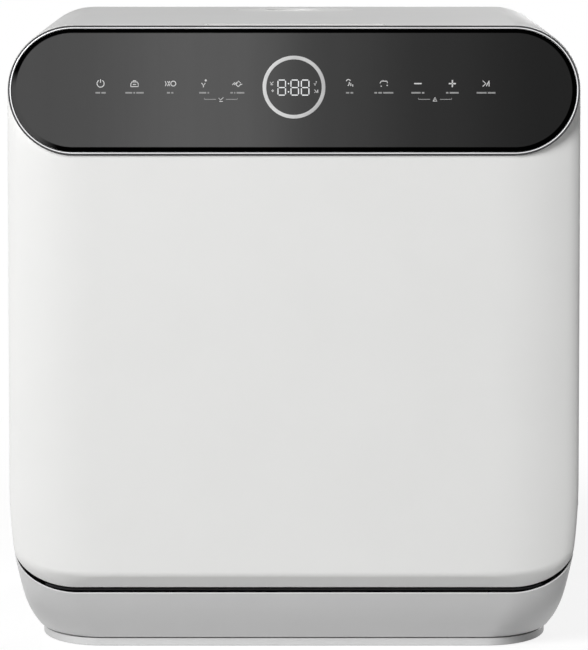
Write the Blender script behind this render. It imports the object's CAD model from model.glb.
"""Looks of a countertop dishwasher with a drop-down door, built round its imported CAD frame.

Plans are drawn in millimetres as (x, depth, z): x runs to the right, depth runs back from the front of
the panel trim and z runs up. ``place`` turns a plan point into the frame's metres.
"""

import logging
from collections.abc import Callable, Iterable, Sequence
from dataclasses import dataclass
from enum import Enum
from math import cos, exp, hypot, pi, radians, sin, sqrt, tan, tau

import bmesh
import bpy
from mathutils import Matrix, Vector


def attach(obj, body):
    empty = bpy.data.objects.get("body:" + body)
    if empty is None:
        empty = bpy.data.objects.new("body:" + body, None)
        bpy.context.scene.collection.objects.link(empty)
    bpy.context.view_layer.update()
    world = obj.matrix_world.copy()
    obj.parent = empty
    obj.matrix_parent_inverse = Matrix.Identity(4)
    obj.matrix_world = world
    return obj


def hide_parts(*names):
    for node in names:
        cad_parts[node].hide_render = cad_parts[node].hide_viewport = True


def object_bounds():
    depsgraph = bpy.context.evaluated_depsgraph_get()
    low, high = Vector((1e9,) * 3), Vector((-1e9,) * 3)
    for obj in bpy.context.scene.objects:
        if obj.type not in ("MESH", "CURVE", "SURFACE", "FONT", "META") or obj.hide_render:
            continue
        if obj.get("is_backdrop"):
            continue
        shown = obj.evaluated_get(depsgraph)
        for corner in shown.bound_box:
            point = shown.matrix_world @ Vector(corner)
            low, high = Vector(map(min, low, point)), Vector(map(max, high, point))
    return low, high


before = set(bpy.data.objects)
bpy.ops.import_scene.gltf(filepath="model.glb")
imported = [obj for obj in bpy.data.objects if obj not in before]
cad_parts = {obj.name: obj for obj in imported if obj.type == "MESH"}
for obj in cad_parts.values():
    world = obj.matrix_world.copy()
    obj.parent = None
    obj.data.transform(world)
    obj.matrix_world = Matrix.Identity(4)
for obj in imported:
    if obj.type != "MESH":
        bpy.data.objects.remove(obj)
LOG = logging.getLogger("dishwasher")

MM = 0.001
INK = 0.1  # thickness of a printed or lit mark, in millimetres
SMOOTH = 35.0  # degrees: edges that turn less than this are shaded smooth
Pair = tuple[float, float]
Outline = list[Pair]
Point = tuple[float, float, float]
Colour = tuple[float, float, float]
BLACK: Colour = (0.0, 0.0, 0.0)
WHITE: Colour = (1.0, 1.0, 1.0)


def place(x: float, depth: float, z: float) -> Vector:
    """Frame position, in metres, of a plan point."""
    return Vector((x * MM, (depth - BODY.depth / 2) * MM, z * MM))


@dataclass(frozen=True)
class Body:
    """Sizes that several sub-assemblies share, in millimetres."""

    panel_hw: float = 209.0
    depth: float = 440.0
    height: float = 465.0
    side_w: float = 210.0
    side_r: float = 420.0
    side_z: float = 130.0
    corner_a: float = 41.0
    corner_b: float = 29.0
    base_top: float = 109.7
    panel_r: float = 47.5
    panel_z: float = 417.5
    trim_w: float = 2.6
    seam_d: float = 15.0
    cab_d0: float = 17.5
    cab_d1: float = 436.8
    slope_d: float = 50.0
    base_z: float = 7.0
    spray_d: float = 206.0


BODY = Body()


# ---------------------------------------------------------------- shader graphs


class Socket:
    """Output of a shader node that takes part in arithmetic; each operator adds one Math node."""

    def __init__(self, graph: "Graph", out: bpy.types.NodeSocket) -> None:
        self.graph = graph
        self.out = out

    def __add__(self, other: "Value") -> "Socket":
        return self.graph.math("ADD", self, other)

    def __sub__(self, other: "Value") -> "Socket":
        return self.graph.math("SUBTRACT", self, other)

    def __rsub__(self, other: "Value") -> "Socket":
        return self.graph.math("SUBTRACT", other, self)

    def __mul__(self, other: "Value") -> "Socket":
        return self.graph.math("MULTIPLY", self, other)

    def __pow__(self, other: "Value") -> "Socket":
        return self.graph.math("POWER", self, other)

    def __abs__(self) -> "Socket":
        return self.graph.math("ABSOLUTE", self)

    def most(self, other: "Value") -> "Socket":
        """The larger of this and the other value."""
        return self.graph.math("MAXIMUM", self, other)

    def spread(self, low: float, high: float, to_low: float = 0.0, to_high: float = 1.0) -> "Socket":
        """This value mapped from low..high to to_low..to_high with a smooth step between."""
        return self.graph.node(
            "ShaderNodeMapRange", {"interpolation_type": "SMOOTHSTEP"}, "Result",
            Value=self, From_Min=low, From_Max=high, To_Min=to_low, To_Max=to_high)


Value = Socket | float


class Graph:
    """Node tree of one material or of the world, emptied down to its output node."""

    def __init__(self, owner: bpy.types.ID, output: str = "ShaderNodeOutputMaterial") -> None:
        owner.use_nodes = True
        self.owner = owner
        self.tree = owner.node_tree
        self.tree.nodes.clear()
        self.output = self.tree.nodes.new(output)
        self._where: Socket | None = None

    def feed(self, socket: bpy.types.NodeSocket, value: "Value | Colour | Point") -> None:
        """Links a Socket to an input, or sets a constant on it."""
        if isinstance(value, Socket):
            self.tree.links.new(value.out, socket)
        elif isinstance(value, tuple) and socket.type == "RGBA" and len(value) == 3:
            socket.default_value = (*value, 1.0)
        else:
            socket.default_value = value

    def node(self, kind: str, settings: dict[str, object] | None = None, result: str | int = 0,
             **values: "Value | Colour | Point") -> Socket:
        """Adds any node.

        Args:
            kind: Blender's type name of the node.
            settings: properties to set before the inputs.
            result: name or number of the output to return.
            **values: inputs by name with spaces as underscores, or by number as ``in0``.

        Returns:
            The chosen output.
        """
        made = self.tree.nodes.new(kind)
        for key, value in (settings or {}).items():
            setattr(made, key, value)
        for key, value in values.items():
            named = int(key[2:]) if key[:2] == "in" and key[2:].isdigit() else key.replace("_", " ")
            self.feed(made.inputs[named], value)
        return Socket(self, made.outputs[result])

    def math(self, operation: str, *values: "Value") -> Socket:
        """One Math node over one or two values."""
        return self.node("ShaderNodeMath", {"operation": operation},
                         **{f"in{i}": v for i, v in enumerate(values)})

    def where(self) -> Socket:
        """Position on the object in metres, which moves with it."""
        if self._where is None:
            self._where = self.node("ShaderNodeTexCoord", None, "Object")
        return self._where

    def axes(self) -> tuple[Socket, Socket, Socket]:
        """The x, y and z of the position in millimetres."""
        made = self.tree.nodes.new("ShaderNodeSeparateXYZ")
        self.feed(made.inputs[0], self.scaled((1 / MM, 1 / MM, 1 / MM)))
        return tuple(Socket(self, o) for o in made.outputs)

    def scaled(self, by: Point) -> Socket:
        """Position multiplied by one factor for each axis."""
        return self.node("ShaderNodeVectorMath", {"operation": "MULTIPLY"}, 0, in0=self.where(), in1=by)

    def noise(self, size: float, detail: float = 2.0, stretch: Point = (1.0, 1.0, 1.0)) -> Socket:
        """Noise between 0 and 1 with features of about ``size`` millimetres."""
        return self.node("ShaderNodeTexNoise", None, 0, Vector=self.scaled(stretch),
                         Scale=1000.0 / size, Detail=detail, Roughness=0.55)

    def cells(self, size: float, feature: str = "F1", stretch: Point = (1.0, 1.0, 1.0)) -> Socket:
        """Distance pattern of cells of about ``size`` millimetres."""
        return self.node("ShaderNodeTexVoronoi", {"feature": feature}, "Distance",
                         Vector=self.scaled(stretch), Scale=1000.0 / size)

    def mix(self, share: "Value", first: "Socket | Colour", second: "Socket | Colour") -> Socket:
        """Colour between the first and the second."""
        made = self.tree.nodes.new("ShaderNodeMix")
        made.data_type = "RGBA"
        for key, value in ((0, share), (6, first), (7, second)):
            self.feed(made.inputs[key], value)
        return Socket(self, made.outputs[2])

    def bump(self, height: Socket, depth: float) -> Socket:
        """Normal for a surface whose height is 0..1 over ``depth`` millimetres."""
        return self.node("ShaderNodeBump", None, 0, Strength=1.0, Distance=depth * MM, Height=height)

    def surface(self, **values: "Value | Colour") -> Socket:
        """Principled shader with the given inputs."""
        return self.node("ShaderNodeBsdfPrincipled", None, 0, **values)

    def close(self, shader: Socket) -> bpy.types.ID:
        """Joins the shader to the output and returns the material or the world."""
        self.feed(self.output.inputs["Surface"], shader)
        return self.owner


# ---------------------------------------------------------------- finishes


@dataclass(frozen=True)
class Finish:
    """What a surface is made of; every kind of finish paints its own material once."""

    name: str
    colour: Colour
    rough: float = 0.4

    def paint(self) -> bpy.types.Material:
        """The material, made the first time it is asked for."""
        if self.name not in bpy.data.materials:
            graph = Graph(bpy.data.materials.new(self.name))
            graph.close(self.shade(graph))
        return bpy.data.materials[self.name]

    def shade(self, g: Graph) -> Socket:
        """Shader of this finish."""
        raise NotImplementedError

    def drift(self, g: Graph, amount: float, size: float = 60.0) -> Socket:
        """The colour, drifting slowly by the given share."""
        darker = tuple(c * (1.0 - amount) for c in self.colour)
        return g.mix(g.noise(size, 3.0).spread(0.3, 0.7), darker, self.colour)


@dataclass(frozen=True)
class Enamel(Finish):
    """Sprayed or glossy white finish with a faint orange peel under a clear coat."""

    peel: float = 0.012
    coat: float = 0.35
    speck: float = 1.6
    shine: float = 0.45

    def shade(self, g: Graph) -> Socket:
        peel = g.noise(self.speck, 2.0) * 0.7 + g.noise(self.speck * 7.0, 1.0) * 0.3
        smudge = g.noise(90.0, 4.0).spread(0.35, 0.75)
        return g.surface(
            Base_Color=self.drift(g, 0.012), Roughness=smudge * 0.025 + self.rough,
            Coat_Weight=smudge * self.coat * -0.15 + self.coat, Coat_Roughness=0.18,
            Specular_IOR_Level=self.shine, Normal=g.bump(peel, self.peel))


@dataclass(frozen=True)
class Moulded(Finish):
    """Moulded plastic with a fine spark-eroded texture, slight flow marks and worn high spots."""

    grain: float = 0.03
    grain_size: float = 0.7
    drift_share: float = 0.05
    shine: float = 0.4

    def shade(self, g: Graph) -> Socket:
        grain = g.cells(self.grain_size) * 0.6 + g.noise(self.grain_size * 2.2, 2.0) * 0.4
        flow = g.noise(45.0, 3.0, (1.0, 1.0, 0.35))
        edge = g.node("ShaderNodeNewGeometry", None, "Pointiness").spread(0.52, 0.6)
        base = g.mix(edge * 0.25, self.drift(g, self.drift_share),
                     tuple(min(1.0, c * 1.25 + 0.015) for c in self.colour))
        return g.surface(Base_Color=base, Roughness=flow * 0.12 + grain * 0.06 + (self.rough - 0.09),
                         Specular_IOR_Level=self.shine, Normal=g.bump(grain, self.grain))


class Lay(Enum):
    """Direction in which brushing marks or rolling marks run."""

    ACROSS = (0.03, 1.0, 1.0)
    DOWN = (1.0, 1.0, 0.03)
    NONE = (1.0, 1.0, 1.0)


@dataclass(frozen=True)
class Metal(Finish):
    """Bare metal with fine marks along its lay, handling smudges and thin scratches."""

    lay: Lay = Lay.NONE
    marks: float = 0.006
    mark_size: float = 0.5

    def shade(self, g: Graph) -> Socket:
        brushed = g.noise(self.mark_size, 3.0, self.lay.value)
        smudge = g.noise(38.0, 4.0).spread(0.35, 0.7)
        scratch = g.cells(14.0, "DISTANCE_TO_EDGE", (1.0, 0.4, 1.0)).spread(0.0, 0.012, 1.0, 0.0)
        base = g.mix(brushed.spread(0.3, 0.7) * 0.5, self.colour, tuple(c * 0.86 for c in self.colour))
        base = g.mix(scratch * 0.12, base, (0.92, 0.92, 0.92))
        return g.surface(Base_Color=base, Metallic=1.0,
                         Roughness=smudge * 0.09 + brushed * 0.1 + (self.rough - 0.08),
                         Normal=g.bump(brushed + scratch * -0.3, self.marks))


@dataclass(frozen=True)
class Galvanised(Finish):
    """Zinc-coated steel sheet with its spangle."""

    spangle: float = 7.0

    def shade(self, g: Graph) -> Socket:
        cells = g.node("ShaderNodeTexVoronoi", {"feature": "F1"}, "Color",
                       Vector=g.where(), Scale=1000.0 / self.spangle)
        tone = g.node("ShaderNodeRGBToBW", None, 0, Color=cells)
        base = g.mix(tone, tuple(c * 0.78 for c in self.colour), self.colour)
        fine = g.noise(0.8, 2.0)
        return g.surface(Base_Color=base, Metallic=1.0, Roughness=tone * 0.18 + (self.rough - 0.09),
                         Normal=g.bump(fine * 0.4 + tone * 0.6, 0.01))


@dataclass(frozen=True)
class Rubber(Finish):
    """Soft black rubber or seal, matt, with fine dust and mould texture."""

    def shade(self, g: Graph) -> Socket:
        grain = g.noise(0.6, 3.0)
        dust = g.noise(11.0, 4.0).spread(0.5, 0.8)
        base = g.mix(dust * 0.25, self.colour, tuple(c * 0.7 + 0.06 for c in self.colour))
        return g.surface(Base_Color=base, Roughness=grain * 0.12 + (self.rough - 0.05),
                         Specular_IOR_Level=0.3, Normal=g.bump(grain, 0.04))


@dataclass(frozen=True)
class PanelGlass(Finish):
    """Tinted control panel: grey printed glass, darker to the right, with a black printed border.

    Args:
        border: colour of the printed border.
        border_w: width of that border.
        lift: how far the border's opening lies above the panel's middle.
        drops: first x, last x and loss of tone of each stretch over which the glass darkens.
    """

    border: Colour = (0.0004, 0.0004, 0.0004)
    border_w: float = 3.25
    lift: float = 0.35
    drops: tuple[Point, ...] = ((-45.0, 30.0, 0.046), (30.0, 100.0, 0.017), (100.0, 190.0, 0.011))

    def shade(self, g: Graph) -> Socket:
        x, _, z = g.axes()
        tone = x.spread(-170.0, -75.0, 0.050, 0.079)
        for start, end, drop in self.drops:
            tone = tone - x.spread(start, end, 0.0, drop)
        streaks = g.noise(16.0, 3.0, (1.0, 1.0, 0.02)).spread(0.25, 0.75)
        tint = g.mix(tone * (streaks * 0.05 + 0.975), BLACK, WHITE)
        smudge = g.noise(55.0, 4.0).spread(0.4, 0.8)
        glass = g.surface(Base_Color=tint, Roughness=smudge * 0.04 + self.rough,
                          Coat_Weight=(smudge * -0.1 + 1.0) * x.spread(-120.0, 190.0, 0.42, 0.08),
                          Coat_Roughness=0.08, Specular_IOR_Level=0.12,
                          Normal=g.bump(g.noise(30.0, 2.0), 0.01))
        print_black = g.surface(Base_Color=self.border, Roughness=smudge * 0.1 + 0.5,
                                Specular_IOR_Level=0.0)
        return g.node("ShaderNodeMixShader", None, 0, in0=self.rim(x, z), in1=glass, in2=print_black)

    def rim(self, x: Socket, z: Socket) -> Socket:
        """Share of the printed border, which fades out round the lower left end."""
        beyond = (abs(x) - (BODY.panel_hw - BODY.panel_r)).most(0.0)
        above = z - (BODY.panel_z + self.lift)
        reach = ((beyond ** 2.0) + (above ** 2.0)) ** 0.5
        inner = BODY.panel_r - BODY.trim_w - self.border_w
        faded = above.spread(1.0, 15.0, 1.0, 0.0) * x.spread(-190.0, -172.0, 1.0, 0.0)
        return reach.spread(inner - 0.3, inner + 0.3) * (1.0 - faded * 0.92)


@dataclass(frozen=True)
class Lit(Finish):
    """Mark that glows a little through the panel, uneven like a diffused lamp and dimmer to the right."""

    glow: float = 0.55
    patch: float = 3.0
    dim: float = 1.0
    half: float = 25.0

    def shade(self, g: Graph) -> Socket:
        x, _, _ = g.axes()
        uneven = g.noise(self.patch, 2.0).spread(0.2, 0.8, 0.82, 1.0)
        uneven = uneven * x.spread(-self.half, self.half, 1.0, self.dim)
        shown = g.mix(uneven, BLACK, self.colour)
        return g.surface(Base_Color=shown, Roughness=uneven * 0.1 + self.rough,
                         Emission_Color=shown, Emission_Strength=self.glow)


@dataclass(frozen=True)
class Clear(Finish):
    """See-through moulded plastic of a water tank, cloudy in places."""

    def shade(self, g: Graph) -> Socket:
        haze = g.noise(22.0, 4.0).spread(0.3, 0.8)
        base = g.mix(haze, self.colour, tuple(c * 0.85 for c in self.colour))
        return g.surface(Base_Color=base, Roughness=haze * 0.2 + self.rough,
                         Transmission_Weight=0.55, IOR=1.45, Normal=g.bump(g.noise(3.0), 0.02))


@dataclass(frozen=True)
class Laminate(Finish):
    """Circuit board: lacquered green laminate with a weave and fine copper tracks under it."""

    def shade(self, g: Graph) -> Socket:
        _, y, z = g.axes()
        tracks = g.node("ShaderNodeTexBrick", {"offset": 0.5}, "Fac", Vector=g.scaled((400.0, 400.0, 400.0)),
                        Scale=1.0, Mortar_Size=0.06)
        weave = g.math("SINE", y * 9.0) * g.math("SINE", z * 9.0)
        base = g.mix(tracks * 0.6, self.colour, tuple(c * 1.9 + 0.01 for c in self.colour))
        return g.surface(Base_Color=base, Roughness=weave * 0.05 + self.rough,
                         Normal=g.bump(weave * 0.5 + tracks, 0.02))


@dataclass(frozen=True)
class Felt(Finish):
    """Pressed fibre mat round the tub, speckled and rough."""

    def shade(self, g: Graph) -> Socket:
        fibre = g.noise(0.9, 5.0, (1.0, 0.5, 1.0))
        fleck = g.cells(3.0).spread(0.1, 0.5)
        base = g.mix(fleck, tuple(c * 0.55 for c in self.colour), self.drift(g, 0.15, 12.0))
        return g.surface(Base_Color=base, Roughness=fibre * 0.1 + 0.85, Normal=g.bump(fibre, 0.5))


class Stock:
    """Finishes by what they are used for."""

    SHELL = Enamel("white_enamel", (0.80, 0.80, 0.79), 0.34)
    SHEET = Enamel("white_powder_coat", (0.78, 0.78, 0.775), 0.5, peel=0.03, coat=0.02, speck=0.9, shine=0.25)
    BASE = Enamel("pale_grey_moulding", (0.705, 0.705, 0.705), 0.40, peel=0.02, coat=0.1, speck=1.0)
    LID = Moulded("white_moulding", (0.74, 0.74, 0.73), 0.38, grain=0.015, drift_share=0.02)
    PLINTH = Moulded("grey_plinth_moulding", (0.60, 0.60, 0.60), 0.45, grain=0.02, drift_share=0.03)
    DARK = Moulded("dark_trim_moulding", (0.030, 0.030, 0.032), 0.42, grain=0.03)
    BLACK = Moulded("black_moulding", (0.012, 0.012, 0.013), 0.38, grain=0.04)
    GREY = Moulded("mid_grey_moulding", (0.27, 0.275, 0.285), 0.42, grain=0.03)
    ARM = Moulded("arm_grey_moulding", (0.16, 0.165, 0.175), 0.36, grain=0.02)
    PALE = Moulded("pale_grey_fittings", (0.55, 0.56, 0.57), 0.4, grain=0.02)
    BLUE = Moulded("blue_moulding", (0.045, 0.16, 0.36), 0.35, grain=0.015)
    AMBER = Moulded("amber_moulding", (0.65, 0.26, 0.03), 0.35, grain=0.015)
    TRIM = Metal("satin_trim", (0.86, 0.86, 0.87), 0.32, Lay.ACROSS, marks=0.002)
    STEEL = Metal("brushed_steel", (0.62, 0.62, 0.63), 0.30, Lay.DOWN, marks=0.003)
    TUB = Moulded("tub_moulding", (0.60, 0.605, 0.61), 0.34, grain=0.012, drift_share=0.03)
    PART = Metal("plain_steel", (0.52, 0.52, 0.53), 0.34)
    ZINC = Galvanised("galvanised_sheet", (0.56, 0.58, 0.60), 0.42)
    GLASS = PanelGlass("tinted_panel", (0.08, 0.08, 0.081), 0.22)
    SEAL = Rubber("door_seal_rubber", (0.035, 0.036, 0.038), 0.62)
    FOOT = Rubber("foot_rubber", (0.018, 0.018, 0.019), 0.7)
    HOSE = Rubber("hose_rubber", (0.022, 0.022, 0.024), 0.5)
    LAMP = Lit("display_lamp", (0.66, 0.67, 0.68), 0.4, 0.42)
    RING = Lit("ring_lamp", (0.62, 0.62, 0.62), 0.35, 0.2, patch=14.0, dim=0.72)
    MARK = Lit("printed_mark", (0.62, 0.62, 0.62), 0.45, 0.12)
    FAINT = Lit("faint_mark", (0.30, 0.30, 0.30), 0.45, 0.03)
    TANK = Clear("tank_plastic", (0.80, 0.88, 0.93), 0.18)
    BOARD = Laminate("circuit_board", (0.012, 0.07, 0.028), 0.35)
    FELT = Felt("insulation_felt", (0.42, 0.36, 0.27), 0.9)
    WIRE = Enamel("wire_coating", (0.50, 0.51, 0.525), 0.32, peel=0.02, coat=0.2, speck=2.0)


# ---------------------------------------------------------------- plane outlines


def arc(u: float, v: float, r: float, start: float, end: float, steps: int) -> Outline:
    """Points round part of a circle, from start to end in degrees."""
    return [(u + r * cos(radians(start + (end - start) * i / steps)),
             v + r * sin(radians(start + (end - start) * i / steps))) for i in range(steps + 1)]


def rounded(u0: float, u1: float, v0: float, v1: float, r: float, inset: float = 0.0,
            steps: int = 8) -> Outline:
    """Rectangle with round corners, shrunk all round by inset."""
    k = max(r - inset, 0.05)
    a0, a1, b0, b1 = u0 + inset + k, u1 - inset - k, v0 + inset + k, v1 - inset - k
    return (arc(a1, b0, k, -90, 0, steps) + arc(a1, b1, k, 0, 90, steps)
            + arc(a0, b1, k, 90, 180, steps) + arc(a0, b0, k, 180, 270, steps))


def stadium(inset: float) -> Outline:
    """The control panel's outline, shrunk all round by inset."""
    c, r, steps = BODY.panel_hw - BODY.panel_r, BODY.panel_r - inset, 48
    return arc(c, BODY.panel_z, r, -90, 90, steps) + arc(-c, BODY.panel_z, r, 90, 270, steps)


def circle(u: float, v: float, r: float, steps: int = 48) -> Outline:
    """A full circle without a doubled point."""
    return arc(u, v, r, 0, 360, steps)[:-1]


def lean(z: float) -> float:
    """How far the sides lean inward at a height."""
    return BODY.side_r - sqrt(BODY.side_r ** 2 - max(0.0, BODY.side_z - z) ** 2)


def lower_half(w: float, zb: float, a: float, b: float) -> Outline:
    """Right half of the lower outline: round a corner a wide and b high, then up the curved side."""
    corner, fine = [], 24
    for i in range(fine + 1):
        t = pi / 2 * i / fine
        z = zb + b * (1 - cos(t))
        corner.append((w - lean(z) - a * (1 - sin(t)), z))
    rise = BODY.side_z - zb - b
    return corner + [(w - lean(z), z) for z in (zb + b + rise * i / 12 for i in range(1, 13))]


def mirrored(half: Outline) -> Outline:
    """The left half of an outline, in reverse order."""
    return [(-u, v) for u, v in reversed(half)]


def full_outline(w: float, zb: float, a: float, b: float, zt: float, rt: float) -> Outline:
    """Closed elevation with curved lower sides and round upper corners."""
    half = lower_half(w, zb, a, b) + arc(w - rt, zt - rt, rt, 0, 90, 20)
    return mirrored(half) + half


def inward(half: Outline, t: float) -> Outline:
    """A half outline moved inward by t, straight up at its start and level at its end."""
    moved = []
    last = len(half) - 1
    for i, (u, v) in enumerate(half):
        if i in (0, last):
            du, dv = (1.0, 0.0) if i == 0 else (0.0, 1.0)
        else:
            du, dv = half[i + 1][0] - half[i - 1][0], half[i + 1][1] - half[i - 1][1]
        size = hypot(du, dv)
        moved.append((u - dv / size * t, v + du / size * t))
    return moved


def fillet(points: Sequence[Point], r: float, steps: int = 5) -> list[Vector]:
    """A path of straight stretches with its inner corners rounded."""
    path = [Vector(p) for p in points]
    made = [path[0]]
    for before, corner, after in zip(path, path[1:], path[2:]):
        into, out = (before - corner), (after - corner)
        reach = min(r, into.length * 0.49, out.length * 0.49)
        start, end = corner + into.normalized() * reach, corner + out.normalized() * reach
        for i in range(steps + 1):
            t = i / steps
            made.append(start * (1 - t) ** 2 + corner * 2 * t * (1 - t) + end * t ** 2)
    return made + [path[-1]]


# ---------------------------------------------------------------- solids


class Facing(Enum):
    """How a flat plan stands in space: its two plan axes and the axis it is extruded along."""

    FRONT = "x z depth"
    TOP = "x depth z"

    def at(self, u: float, v: float, w: float) -> Vector:
        """Frame position of plan point (u, v) at distance w along the extrusion."""
        spot = dict(zip(self.value.split(), (u, v, w)))
        return place(spot["x"], spot["depth"], spot["z"])


Plan = Callable[[float], Outline]


class Solid:
    """Mesh under construction; every method that draws adds one closed form to it."""

    def __init__(self, name: str, *finishes: Finish) -> None:
        self.name = name
        self.finishes = finishes
        self.verts: list[Vector] = []
        self.faces: list[tuple[int, ...]] = []
        self.slots: list[int] = []

    def _face(self, corners: Iterable[int], slot: int) -> None:
        self.faces.append(tuple(corners))
        self.slots.append(slot)

    def rings(self, rings: Sequence[Sequence[Vector]], slot: int = 0, loop: bool = False) -> "Solid":
        """Skins a stack of closed rings of equal length.

        Args:
            rings: the rings, each a list of positions.
            slot: which of the finishes to use.
            loop: whether the last ring joins the first; otherwise both are filled.

        Returns:
            This solid, so that calls can be chained.
        """
        base, n, m = len(self.verts), len(rings[0]), len(rings)
        self.verts += [p for r in rings for p in r]
        for k in range(m if loop else m - 1):
            low, high = base + k * n, base + ((k + 1) % m) * n
            for i in range(n):
                j = (i + 1) % n
                self._face((low + i, low + j, high + j, high + i), slot)
        if not loop:
            self._face(reversed(range(base, base + n)), slot)
            self._face(range(base + (m - 1) * n, base + m * n), slot)
        return self

    def prism(self, facing: Facing, plan: Plan, w0: float, w1: float, edge: float = 0.3,
              slot: int = 0) -> "Solid":
        """Extrudes a plan from w0 to w1 with rounded edges.

        Args:
            facing: how the plan stands.
            plan: gives the outline for an inset.
            w0: start of the extrusion.
            w1: end of the extrusion.
            edge: radius of the rounded edges.
            slot: which of the finishes to use.

        Returns:
            This solid.
        """
        steps = 3
        turn = [(edge * (1 - sin(pi / 2 * i / steps)), edge * (1 - cos(pi / 2 * i / steps)))
                for i in range(steps + 1)]
        first = [(inset, w0 + rise) for inset, rise in turn]
        last = [(inset, w1 - rise) for inset, rise in reversed(turn)]
        return self.rings([[facing.at(u, v, w) for u, v in plan(inset)] for inset, w in first + last], slot)

    def frame(self, facing: Facing, plan: Plan, profile: Outline) -> "Solid":
        """Sweeps a closed profile of (inset, height) points round a plan."""
        return self.rings([[facing.at(u, v, w) for u, v in plan(inset)] for inset, w in profile], loop=True)

    def lathe(self, facing: Facing, centre: Pair, profile: Outline, slot: int = 0,
              steps: int = 40) -> "Solid":
        """Turns (radius, height) points about an axis through the centre; zero radii make the ends."""
        rows = [[facing.at(u, v, w) for u, v in circle(*centre, max(r, 0.01), steps)] for r, w in profile]
        return self.rings(rows, slot)

    def tube(self, path: Sequence[Vector], r: float, slot: int = 0, sides: int = 10,
             tip: float = 0.0, loop: bool = False) -> "Solid":
        """Round bar along a path in plan millimetres, with ends rounded over the length ``tip``."""
        spots = [Vector(p) for p in path]
        radii = [r] * len(spots)
        if tip:
            for end, step in ((0, 1), (-1, -1)):
                into = (spots[end + step] - spots[end]).normalized()
                start = spots[end]
                added = [(start + into * tip * (1 - cos(a)), r * max(sin(a), 0.05)) for a in (0.0, 0.5, 1.0)]
                if step == 1:
                    spots, radii = [p for p, _ in added] + spots[1:], [q for _, q in added] + radii[1:]
                else:
                    added.reverse()
                    spots, radii = spots[:-1] + [p for p, _ in added], radii[:-1] + [q for _, q in added]
        normal = Vector((0, 0, 1)) if abs((spots[1] - spots[0]).normalized().z) < 0.9 else Vector((1, 0, 0))
        rows = []
        count = len(spots)
        for i, (spot, size) in enumerate(zip(spots, radii)):
            before = spots[i - 1] if i or loop else spot
            after = spots[(i + 1) % count] if i < count - 1 or loop else spot
            along = (after - before).normalized()
            normal = (normal - along * normal.dot(along)).normalized()
            across = along.cross(normal)
            rows.append([place(*(spot + (normal * cos(a) + across * sin(a)) * size))
                         for a in (tau * k / sides for k in range(sides))])
        return self.rings(rows, slot, loop=loop)

    def ribbon(self, points: Sequence[Pair], width: float, depth: float) -> "Solid":
        """Flat stroke through (x, z) points, with its face at ``depth``."""
        left, right = [], []
        count = len(points)
        for i, (u, v) in enumerate(points):
            a, b = points[max(i - 1, 0)], points[min(i + 1, count - 1)]
            dx, dz = b[0] - a[0], b[1] - a[1]
            size = hypot(dx, dz) or 1.0
            off = (-dz / size * width / 2, dx / size * width / 2)
            left.append((u + off[0], v + off[1]))
            right.append((u - off[0], v - off[1]))
        back = depth + INK
        rows = [[place(u, depth, v), place(s, depth, t), place(s, back, t), place(u, back, v)]
                for (u, v), (s, t) in zip(left, right)]
        return self.rings(rows)

    def dot(self, x: float, z: float, r: float, depth: float, steps: int) -> "Solid":
        """Flat round mark about (x, z), with its face at ``depth``."""
        edge = circle(x, z, r, steps)
        return self.rings([[Facing.FRONT.at(u, v, w) for u, v in edge] for w in (depth, depth + INK)])

    def mesh(self) -> bpy.types.Mesh:
        """The faces drawn so far as a mesh without materials."""
        made = bpy.data.meshes.new(self.name)
        made.from_pydata(self.verts, [], self.faces)
        return made

    def build(self, body: str, *replaced: str, slot: str) -> bpy.types.Object:
        """Makes the object, rides it on a body and says which CAD nodes it stands for.

        Args:
            body: CAD body that the piece moves with.
            *replaced: CAD nodes that the piece stands for.
            slot: the record's material slot that the piece belongs to.

        Returns:
            The finished object.
        """
        mesh = self.mesh()
        for finish in self.finishes:
            mesh.materials.append(finish.paint())
        mesh.polygons.foreach_set("material_index", self.slots)
        obj = add(self.name, mesh)
        tidy_mesh(mesh)
        return settle(obj, body, replaced)


def add(name: str, data: bpy.types.ID) -> bpy.types.Object:
    """A new object in the scene for a mesh, a camera or a lamp."""
    obj = bpy.data.objects.new(name, data)
    bpy.context.scene.collection.objects.link(obj)
    return obj


def tidy_mesh(mesh: bpy.types.Mesh) -> None:
    """Merges doubled points, turns the faces outward and shades by angle."""
    work = bmesh.new()
    work.from_mesh(mesh)
    bmesh.ops.remove_doubles(work, verts=work.verts, dist=1e-6)
    bmesh.ops.recalc_face_normals(work, faces=work.faces)
    work.to_mesh(mesh)
    work.free()
    mesh.shade_smooth()
    mesh.set_sharp_from_angle(angle=radians(SMOOTH))


def even_normals(obj: bpy.types.Object) -> None:
    """Weighs the normals by face size and keeps the sharp edges."""
    obj.modifiers.new("even_normals", "WEIGHTED_NORMAL").keep_sharp = True


def settle(obj: bpy.types.Object, body: str, replaced: Sequence[str]) -> bpy.types.Object:
    """Gives a finished piece its weighted normals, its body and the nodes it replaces."""
    even_normals(obj)
    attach(obj, body)
    if replaced:
        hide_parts(*replaced)
    LOG.info("piece %s rides on %s%s", obj.name, body, f", for {', '.join(replaced)}" if replaced else "")
    return obj


def soften(obj: bpy.types.Object, width: float, angle: float = 40.0) -> None:
    """Adds a bevel of a width in millimetres to the edges sharper than the angle."""
    bevel = obj.modifiers.new("soft_edges", "BEVEL")
    bevel.width = width * MM
    bevel.segments = 2
    bevel.limit_method = "ANGLE"
    bevel.angle_limit = radians(angle)
    bevel.use_clamp_overlap = True


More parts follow.
